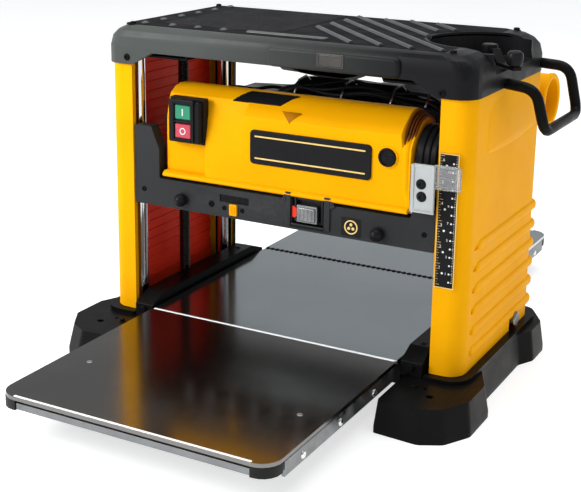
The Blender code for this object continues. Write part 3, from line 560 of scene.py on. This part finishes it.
def cover_ribs(bm):
    for a, b in rib_ends():
        tube(bm, [(*a, COVER_TOP - RIB_R - 0.1), (*b, COVER_TOP - RIB_R - 0.1)], RIB_R, 16)
    pillow(bm, top, (-57, 53), (-113, -103), 3, COVER_FLOOR - 2, COVER_FLOOR + 2, 1.4)
    domes = [(-207, -109 + 41.8 * k) for k in range(6)] + [(-165 + 37.6 * k, -109) for k in range(3)]
    for centre in domes:
        profile = [
            (5.2, COVER_FLOOR - 3), (5.2, COVER_FLOOR), (4.2, COVER_FLOOR + 1.6), (2, COVER_FLOOR + 2.6),
        ]
        turned(bm, top, centre, profile, 14)


def cover_grooves(bm):
    """Fine ridges along the left half of the panel."""
    for k in range(22):
        y = -94 + 9.2 * k
        pillow(bm, top, (-188, -20), (y - 1.3, y + 1.3), 1.2, COVER_FLOOR - 1, COVER_FLOOR + 1.3, 1, 2)


def cover_bolts(bm):
    for centre in ((-219, -118), (-229, 104), (215, -118), (214, 104)):
        hex_bolt(bm, top, centre, COVER_FLOOR - 1.6, 4.2)
    for centre in ((-213.5, 384), (212.5, 381)):
        screw_head(bm, front, centre, COVER_FRONT - 0.5, 4.6, 2.2)


def under_grip(bm):
    """The dark lip under the middle of the front edge, where a hand takes hold."""
    lip = [
        (10, 396), (17, 391.5), (34, 387), (60, 384.6), (90, 384.8),
        (104, 388), (118, 394), (118, 397), (10, 398),
    ]
    plate(bm, front, lip, COVER_FRONT - 16, COVER_FRONT - 1.5)


def badge(bm):
    pillow(bm, front, (58, 93), (397.5, 413.5), 1.5, COVER_FRONT + 2.5, COVER_FRONT + 5, 0.6)
    bar_frame(bm, front, (60, 91, 399.2, 411.8), (61, 90, 400.2, 410.8), COVER_FRONT + 4.8, COVER_FRONT + 5.4)


def dress_cover():
    piece("top_cover_shell", "base", "cover_plastic_painted_shade", cover_shell, 1.2, ["top_cover"])
    piece("top_cover_panel", "base", "panel_black", cover_panel, 0.0)
    # The ribs, the pad and the domes are a lighter grey than the panel: painted highlight.
    piece("top_cover_ribs", "base", "rib_painted_highlight", cover_ribs, 0.3)
    piece("top_cover_grooves", "base", "black_plastic", cover_grooves, 0.0)
    piece("top_cover_grip", "base", "black_paint", under_grip, 0.8)
    piece("top_cover_bolts", "base", "black_paint", cover_bolts, 0.3)
    piece("top_cover_badge", "base", "dark_steel", badge, 0.2)


# ---------------------------------------------------------------- motor cover

AXIS_Y, AXIS_Z, HOOD_R = -88.0, 307.0, 43.0
HOOD_FOOT = 236.0


def hood_section(face, crest, radius=HOOD_R):
    """The hood's outline from its front foot over the top to its rear foot.

    face is how far the flat front stands from the middle plane; crest lists the points between
    the flat front and the round top."""
    points = [(-face, HOOD_FOOT), (-face, 262)] + crest
    for k in range(9):
        a = math.radians(130 - 130 * k / 8)
        points.append((AXIS_Y + radius * math.cos(a), AXIS_Z + radius * math.sin(a)))
    points += [(AXIS_Y + HOOD_R, 270), (AXIS_Y + HOOD_R, HOOD_FOOT)]
    inner = [(AXIS_Y + (y - AXIS_Y) * 0.92, HOOD_FOOT + (z - HOOD_FOOT) * 0.965) for y, z in points]
    return points + list(reversed(inner))


LOW_FRONT = (124.6, [(-124.6, 283), (-124.6, 300), (-124, 312), (-120, 328)])
STEP_FRONT = (132.6, [(-132.6, 279), (-124.8, 306), (-124, 313), (-120, 328)])
HIGH_FRONT = (132, [(-132, 283), (-132, 305), (-132, 325), (-126, 332)])
END_FRONT = (132, [(-132, 283), (-132, 298), (-131, 311), (-124, 320)], 34)


def motor_hood(bm):
    sections = [
        (-163, LOW_FRONT), (-108, LOW_FRONT), (-102.5, STEP_FRONT), (-50, STEP_FRONT),
        (-47.5, HIGH_FRONT), (162, HIGH_FRONT), (163.5, END_FRONT), (172, END_FRONT),
    ]
    rows_to_body(bm, side, [(hood_section(*shape), x) for x, shape in sections])
    for x, shape in ((-165, LOW_FRONT), (172, END_FRONT)):
        outline = hood_section(*shape)
        plate(bm, side, outline[:len(outline) // 2], x, x + 3)
    lip = [(-121, 234), (-135, 234), (-137, 236), (-136, 239), (-132, 241.5), (-121, 241.5)]
    plate(bm, side, lip, -165, 174)


def hood_fins(bm):
    """Cooling fins round the hood's right end."""
    for k in range(4):
        x = 164.5 + 3 * k
        outline = circle((AXIS_Y, AXIS_Z), 41 - 1.5 * k, 36)
        plate(bm, side, [(y, max(z, 262)) for y, z in outline], x, x + 1.4)


def hood_mark(bm):
    """The small pointer moulded into the hood's crest, a darker amber wedge as painted shade of its dimple.
    """
    points = [(2.5, -124.0, 334.6), (28.5, -124.0, 334.6), (16.4, -132.2, 322.4)]
    low = [bm.verts.new(Vector(p) + Vector((0, 3, -3))) for p in points]
    high = [bm.verts.new(Vector(p) + Vector((0, -1.1, 0.9))) for p in points]
    bm.faces.new(low)
    bm.faces.new(list(reversed(high)))
    for k in range(3):
        after = (k + 1) % 3
        bm.faces.new((low[k], high[k], high[after], low[after]))


def rating_plate(bm):
    """A blank black plate curved over the hood's top."""
    def wrap(x, r, angle):
        a = math.radians(angle)
        return Vector((x + 0.55 * (131 - angle), AXIS_Y + r * math.cos(a), AXIS_Z + r * math.sin(a)))

    rows = []
    for k in range(8):
        section = [(-71, HOOD_R - 3), (-4, HOOD_R - 3), (-4, HOOD_R + 0.9), (-71, HOOD_R + 0.9)]
        rows.append((section, 132 - 30 * k / 7))
    rows_to_body(bm, wrap, rows)


def name_board(bm):
    pillow(bm, front, (-37, 126), (267.5, 310), 5, 131, 134.6, 1.2)


def board_lines(bm):
    for z in (274.2, 301.4):
        pillow(bm, front, (-30, 119), (z, z + 1.9), 0.8, 134, 135.1, 0.4, 2)


def brush_holder(bm):
    profile = [(11, 131), (11, 134.6), (10, 135.6), (9, 135.6), (8.4, 133.6), (0.6, 133.2)]
    turned(bm, front, (146, 298), profile, 28)
    pillow(bm, front, (138.5, 153.5), (296.8, 299.2), 1, 132.5, 134.6, 0.5)


def brush_rim(bm):
    hoop(bm, front, (146, 298), 11.3, 13.2, 131, 133.4)


def switch_frame(bm):
    """The switch's body behind its face, a hood over it and a frame round the two buttons."""
    block(bm, (-154, -104), (-133, -122), (281, 339))
    bar_frame(bm, front, (-145.5, -113.5, 285.5, 335), (-142.2, -116.8, 288, 332), 140, 143.4)
    slab(bm, front, (-142, -117), (309, 311), 140, 143)
    pillow(bm, front, (-147, -112), (333.5, 338.5), 2, 138, 145, 1.5)


MARK = (142.2, 142.9)  # the buttons' marks stand out of their faces between these


def start_mark(bm):
    slab(bm, front, (-130.3, -128.7), (317.5, 326.5), *MARK)


def stop_mark(bm):
    hoop(bm, front, (-129.5, 298), 3.1, 4.4, *MARK, 20)


def chute_top(bm):
    """The chute's wavy top edge, standing up behind the hood."""
    wave = [
        (-70, 334), (-60, 340), (-52, 349), (-40, 351.5), (-8, 354.5), (14, 353), (30, 351.5),
        (70, 352), (92, 351.5), (104, 346), (118, 338), (118, 320), (-70, 320),
    ]
    plate(bm, front, wave, -31, -22)
    rim = [(-162 + 8 * k, 20, 325 + 0.75 * k + 1.5 * math.sin(k * 0.9)) for k in range(14)]
    tube(bm, rim, 2.4, 8)


def rear_hood(bm):
    """The dust hood: a shallow box with a roof that rises to the right, its neck and its outlet."""
    roof = [
        (-150, 240), (170, 240), (170, 336), (150, 346), (128, 340), (92, 327), (-40, 311),
        (-138, 306), (-150, 298),
    ]
    middle = (10, 290)
    rows = []
    for inset, y in ((6, 119), (0, 124), (0, 145), (6, 150)):
        rows.append(([
            (x + (middle[0] - x) * inset / 160, z + (middle[1] - z) * inset / 50) for x, z in roof
        ], -y))
    rows_to_body(bm, front, rows)
    block(bm, (-120, 120), (92.5, 122), (250, 300))
    outlet = [
        (30, 130), (34, 134), (34, 243), (35.5, 245), (35.5, 249), (34.5, 250.5), (28.6, 250.5),
        (28, 249), (28, 178), (4, 177),
    ]
    turned(bm, side, (158, 328), outlet, 36)


def dress_motor():
    piece("chute_top", "carriage", "black_paint", chute_top, 0.6)
    piece("rear_hood", "carriage", "yellow_plastic", rear_hood, 1.5, ["dust_hood"])
    piece("motor_hood", "carriage", "yellow_plastic", motor_hood, 1.3, ["motor_cover"])
    piece("motor_hood_fins", "carriage", "brown_shade", hood_fins, 0.3)
    piece("motor_hood_pointer", "carriage", "amber_painted_shade", hood_mark, 0.0)
    piece("motor_rating_plate", "carriage", "black_plastic", rating_plate, 0.2)
    piece("name_board", "carriage", "black_plastic", name_board, 0.3, ["name_plate"])
    piece("name_board_lines", "carriage", "pale_ink", board_lines, 0.1)
    piece("brush_holder", "carriage", "black_plastic", brush_holder, 0.2, ["brush_cap"])
    piece("brush_holder_rim", "carriage", "yellow_plastic", brush_rim, 0.3)
    piece("switch_frame", "carriage", "black_plastic", switch_frame, 0.6)
    piece("start_mark", "start", "marking_ink", start_mark, 0.1)
    piece("stop_mark", "stop", "marking_ink", stop_mark, 0.1)


# ---------------------------------------------------------------- carriage

BEAM = 134.5  # the beam's front face
STICKER = (102.9, 207.5)


def beam_trim(bm):
    """The raised frame round the gauge's recess, with a web at each side."""
    for x, z in (((15, 22), (197, 239.5)), ((67, 75), (197, 239.5)), ((22, 67), (197, 201))):
        slab(bm, front, x, z, BEAM - 6, BEAM + 2.2)
    for low, high in (((9, 229), (15, 240)), ((82, 229), (75, 240))):
        plate(bm, front, [low, (high[0], low[1] - 4), high], BEAM - 6, BEAM + 2.2)
    bar_frame(bm, front, (25, 64, 202.5, 233), (28.5, 61.5, 205, 230.5), BEAM - 7, BEAM - 2)


def gauge_face(bm):
    pillow(bm, front, (33, 57), (206.5, 223.5), 1.5, 138, 141, 1.2)
    for k in range(4):
        x = 37 + 5.3 * k
        pillow(bm, front, (x - 0.8, x + 0.8), (208.5, 221.5), 0.7, 140, 141.7, 0.4, 2)


def gauge_needle(bm):
    outline = [(22.5, 221.5), (24, 222.5), (36, 216), (26, 207.5), (22.5, 208.5)]
    plate(bm, front, outline, BEAM - 6, BEAM - 0.6)


def beam_screws(bm):
    for centre, radius in (((-92.3, 207.7), 4.2), ((-73.5, 205), 3.0), ((-47.5, 205), 3.0)):
        screw_head(bm, front, centre, BEAM - 0.3, radius, 2.0)
    for x in (-195, 196):
        screw_head(bm, front, (x, 213), BEAM - 0.3, 3.4, 1.6)


def sticker(bm):
    plate(bm, front, oblong(90, 116, 196, 219, 1.5), BEAM - 0.3, BEAM + 0.35)


def sticker_ring(bm):
    hoop(bm, front, STICKER, 7.2, 8.8, BEAM, BEAM + 0.7)
    for a in (90, 210, 330):
        x = STICKER[0] + 3.2 * math.cos(math.radians(a))
        z = STICKER[1] + 3.2 * math.sin(math.radians(a))
        turned(bm, front, (x, z), [(1.9, BEAM), (1.9, BEAM + 0.7)], 12)


def tab_body(bm):
    pillow(bm, front, (-65, -54), (197, 211.5), 1.5, BEAM, 137.4, 0.8)
    for x in (-62, -59.5, -57):
        slab(bm, front, (x - 0.5, x + 0.5), (200, 209), 137, 137.9)


def index_slot(bm):
    plate(bm, front, oblong(-80.2, -37.8, 212.3, 222.2, 0.6), BEAM - 3, BEAM - 1.2)


def dress_carriage():
    piece("index_slot", "carriage", "black_paint", index_slot, 0.0)
    piece("beam_trim", "carriage", "dark_grey_paint", beam_trim, 0.8)
    piece("gauge_face", "gauge", "grey_metal", gauge_face, 0.2)
    piece("gauge_needle", "carriage", "deep_red_painted_glow", gauge_needle, 0.2)
    piece("beam_screws", "carriage", "black_paint", beam_screws, 0.2)
    piece("beam_sticker", "carriage", "black_plastic", sticker, 0.0)
    piece("beam_sticker_ring", "carriage", "pale_ink", sticker_ring, 0.0)
    piece("index_tab_ribs", "carriage", "yellow_plastic", tab_body, 0.2, ["index_tab"])


# ---------------------------------------------------------------- scale and pointer

SCALE_FACE = 137.6
INCH = 25.4
EIGHTH = 3.175
TICK_END = 233.6
INCH_TICK_START = 213.6


def dot(bm, x, z, radius):
    turned(bm, front, (x, z), [(radius, SCALE_FACE - 0.2), (radius, SCALE_FACE + 0.15)], 10)


def tick(bm, x0, x1, z, half=0.2):
    slab(bm, front, (x0, x1), (z - half, z + half), SCALE_FACE - 0.2, SCALE_FACE + 0.1)


def scale_marks(bm):
    """A column of dots 10 mm apart with ticks every 2 mm, and one of dots an inch apart."""
    for k in range(15):
        z = 162 + 10 * k
        dot(bm, 229.3, z, 1.15)
        tick(bm, 231.6, TICK_END, z, 0.3)
        for n in range(1, 5):
            tick(bm, 232.6, TICK_END, z + 2 * n)
    for k in range(6):
        dot(bm, 221, 172 + INCH * k, 1.35)


def inch_marks(bm):
    """Ticks an eighth of an inch apart, and the border round the scale."""
    for k in range(50):
        length = 4.5 if k % 8 == 0 else (2.6 if k % 2 == 0 else 1.5)
        tick(bm, INCH_TICK_START, INCH_TICK_START + length, 158 + EIGHTH * k)
    outer, inner = (212.2, 235.6, 154, 313), (212.8, 234.6, 155, 312)
    bar_frame(bm, front, outer, inner, SCALE_FACE - 0.6, SCALE_FACE + 0.2)


def figure(bm, value, x, z, size):
    """A number lying on the scale's face, from the built-in font."""
    curve = bpy.data.curves.new("figure", "FONT")
    curve.body = str(value)
    curve.size = size
    curve.align_x = "CENTER"
    curve.align_y = "CENTER"
    curve.extrude = 0.15
    curve.resolution_u = 2
    holder = bpy.data.objects.new("figure", curve)
    bpy.context.scene.collection.objects.link(holder)
    bpy.context.view_layer.update()
    mesh = bpy.data.meshes.new_from_object(holder)
    bpy.data.objects.remove(holder)
    mesh.transform(Matrix(((1, 0, 0, x), (0, 0, -1, -SCALE_FACE), (0, 1, 0, z), (0, 0, 0, 1))))
    bm.from_mesh(mesh)
    bpy.data.meshes.remove(mesh)


def figures(bm):
    for k in range(7):
        figure(bm, 2 * k + 1, 225.2, 172 + 20 * k, 4.2)
    for k in range(6):
        figure(bm, k + 1, 217.4, 178.5 + INCH * k, 5.4)


def bracket_screws(bm):
    for centre in ((196, 277), (197, 262.5)):
        turned(bm, front, centre, [(6.2, 149.5), (6.2, 150.6)], 20)
        screw_head(bm, front, centre, 150.3, 5.2, 2.2)


def window_rim(bm):
    bar_frame(bm, front, (211.2, 242.4, 276, 301.5), (213.5, 240.5, 278.2, 299.3), 149, 150.9)
    slab(bm, front, (212.4, 241), (287.4, 288), 149.9, 150.3)


def bracket_face(bm):
    """The folded plate with its raised border and the leg down to the beam."""
    bar_frame(bm, front, (185, 211.5, 246, 299), (187.5, 209, 248.5, 296.5), 149.5, 151)
    pillow(bm, front, (184, 212), (244.5, 300), 3, 147.3, 150.3, 0.8)
    plate(bm, side, [(-149, 244.5), (-149, 262), (-126, 262), (-126, 244.5)], 183, 185.5)


def dress_scale():
    piece("scale_marks", "base", "marking_ink", scale_marks, 0.0)
    piece("scale_inch_marks", "base", "pale_ink", inch_marks, 0.0)
    piece("scale_figures", "base", "marking_ink", figures, 0.0)
    piece("bracket_screws", "carriage", "black_plastic", bracket_screws, 0.2)
    piece("bracket_face", "carriage", "hazy_plate", bracket_face, 0.3)
    piece("window_rim", "carriage", "clear_acrylic", window_rim, 0.2)


# ---------------------------------------------------------------- housings

HOUSING_WALL = 248.0
RIB_STEP = 26.0
LINER_STEP = 13
INSIDE = (47, 373)  # lower and upper end of the housing's lined inside


def left_side(u, v, w):
    """On a face turned to the left: u along the feed, v up, w out of the face."""
    return Vector((-w, u, v))


def housing_ribs(bm, place):
    """Six soft ribs along the lower half and the swelling below the handle."""
    for k in range(6):
        z = 67 + RIB_STEP * k
        y = (-106 + 2 * k, 120.5)
        pillow(bm, place, y, (z - 7.5, z + 7.5), 7.4, HOUSING_WALL - 4, HOUSING_WALL + 2.4, 5.5, 5)
    rows = []
    for k in range(21):
        t = k / 20
        swell = math.sin(math.pi * t) ** 0.8
        level = 305 + 4 * t
        section = [
            (level - 7 * swell, HOUSING_WALL - 3), (level - 7 * swell, HOUSING_WALL - 0.3),
            (level + 9 * swell, HOUSING_WALL - 0.3 + 4.6 * swell),
            (342, HOUSING_WALL - 0.3 + 3.0 * swell),
            (370, HOUSING_WALL - 0.3), (370, HOUSING_WALL - 3),
        ]
        rows.append((section, -86 + 192 * t))
    rows_to_body(bm, lambda z, w, y: place(y, z, w), rows)


def housing_liner(bm, place):
    """The inside of the housing's outer wall, with its level ribs, coloured deep red as painted shade of the
    yellow plastic in its shadow.
    """
    slab(bm, place, (-108, 100), INSIDE, 242.6, 243.9)
    for k in range(24):
        z = 58 + LINER_STEP * k
        slab(bm, place, (-106, 98), (z, z + 6), 240.8, 242.8)


def housing_edge(bm, place):
    """The inside of the housing's rear wall and the flange along its inner edge, in black as painted shade.
    """
    slab(bm, place, (111.5, 113.8), INSIDE, 209.6, 240)
    slab(bm, place, (111, 118.6), INSIDE, 209, 210.3)


THREAD_PITCH = 3.175
THREAD_DEPTH = 1.5
THREAD_ENDS = (48, 380)
SCREW_R = 7.5
SCREW_X, SCREW_Y = 218, -6


def lead_screw(bm, x, height):
    """A threaded screw: each row of points swings in and out with the thread's phase."""
    steps, per_turn = 20, 6
    spacing = THREAD_PITCH / per_turn
    low, high = THREAD_ENDS
    threaded = [low + spacing * k for k in range(int((high - low) / spacing))]
    levels = [11, low - 0.1] + threaded + [high + 0.2, height]
    rows = []
    for z in levels:
        row = []
        for n in range(steps):
            a = 2 * math.pi * n / steps
            phase = (z / THREAD_PITCH - n / steps) % 1
            depth = THREAD_DEPTH * max(0.0, 1 - abs(phase - 0.5) * 3.2) if low <= z < high else 0
            r = SCREW_R - depth
            row.append(bm.verts.new((x + r * math.cos(a), SCREW_Y + r * math.sin(a), z)))
        rows.append(row)
    skin(bm, rows)


def dress_housings():
    places = {"right": side, "left": left_side}
    for name, finish, shape, edge in (
        ("housing_ribs", "yellow_plastic", housing_ribs, 0.0),
        ("housing_liner", "deep_red_painted_glow", housing_liner, 0.5),
        ("housing_edge", "black_paint", housing_edge, 0.2),
    ):
        for hand, place in places.items():
            piece(f"{name}_{hand}", "base", finish, lambda bm: shape(bm, place), edge)
    for hand, x, height in (("left", -SCREW_X, 391), ("right", SCREW_X, 408)):
        thread, rod = f"screw_thread_{hand}", f"lead_screw_{hand}"
        piece(thread, f"{hand}_screw", "dark_steel", lambda bm: lead_screw(bm, x, height), 0.0, [rod])


# ---------------------------------------------------------------- tables and base

TABLE_TOP = 57.0


def flange_screws(bm, end):
    for place in (side, left_side):
        for y in (211, 297, 383):
            profile = [(4.6, 173.4), (4.6, 174.2), (3.6, 175.4), (1.6, 175.8)]
            turned(bm, place, (end * y, 41.5), profile, 16)


def table_plugs(bm, end):
    for x in (-137, 142.5):
        profile = [
            (3.4, TABLE_TOP - 0.5), (3.4, TABLE_TOP + 0.12), (1.2, TABLE_TOP + 0.12), (1.0, TABLE_TOP - 0.1),
        ]
        turned(bm, top, (x, end * 332), profile, 18)


def hinge_teeth(bm):
    """The serrated strip between the main table and the outfeed table."""
    block(bm, (-173, 173), (147.4, 150.9), (52, 56.2))
    for k in range(44):
        x = -172 + 8 * k
        plate(bm, top, [(x, 146.4), (x + 4.6, 147.6), (x + 4.6, 151), (x, 150)], 55, 58.4)


def front_roll(bm, end):
    """The rolled lip along a table's free edge, near-white as a painted highlight."""
    y = sorted((end * 449.5, end * 445.7))
    pillow(bm, top, (-151, 151), y, 1.4, 56, 57.3, 0.7)


# The strip along the main table's infeed edge, near-white as a painted highlight.
def hinge_strip(bm):
    pillow(bm, top, (-172, 172), (-151, -147.6), 1.2, 53, 57.5, 1.0, 3)


def rail_bolts(bm):
    """Bolts on the rails' ends, and low heads along their tops that clear the carriage."""
    for x in (-191, 191):
        hex_bolt(bm, front, (x, 52), 144.6, 3.8)
        for y in (-108, 96):
            screw_head(bm, top, (x, y), 68.6, 3.8, 1.5)


def foot_bolts(bm):
    for sign in (-1, 1):
        hex_bolt(bm, top, (sign * 207, -172), 39.5, 3.6)


LEADS_Z = 344
LEADS_START = -70
LEADS_DIP = 24  # how far both ends bend down


def cables(bm):
    """The motor's leads, bundled over the chute."""
    for n, lift in enumerate((0, 4.5, 8)):
        points = []
        for k in range(25):
            x = LEADS_START + 10 * k
            y = -22 + 9 * n + 5 * math.sin(k * 0.35 + 2 * n)
            z = LEADS_Z + lift + 4 * math.sin(k * 0.55 + n) - LEADS_DIP * abs(k / 12 - 1) ** 5
            points.append((x, y, z))
        tube(bm, points, 3.0 - 0.4 * n, 8)


def chute_clips(bm):
    for x in (-30, 36, 104, 150):
        tube(bm, [(x, -34, 340), (x + 2, -26, 356), (x + 3, -8, 359), (x + 4, 4, 350)], 1.3, 8)


def dress_base():
    for name, finish, shape, edge in (
        ("flange_screws", "chrome", flange_screws, 0.2),
        ("lip", "white_painted_highlight", front_roll, 0.0),
        ("table_plugs", "zinc_steel", table_plugs, 0.0),
    ):
        for wing, end in (("infeed", -1), ("outfeed", 1)):
            piece(f"{wing}_{name}", f"{wing}_wing", finish, lambda bm: shape(bm, end), edge)
    piece("hinge_teeth", "base", "black_plastic", hinge_teeth, 0.2)
    piece("hinge_strip", "base", "white_painted_highlight", hinge_strip, 0.0)
    piece("rail_bolts", "base", "black_paint", rail_bolts, 0.2)
    piece("foot_bolts", "base", "black_paint", foot_bolts, 0.2)
    piece("motor_leads", "carriage", "rubber", cables, 0.0)
    piece("lead_clips", "carriage", "zinc_steel", chute_clips, 0.0)


camera()
studio()
dress_frame()
dress_cover()
dress_motor()
dress_carriage()
dress_scale()
dress_housings()
dress_base()
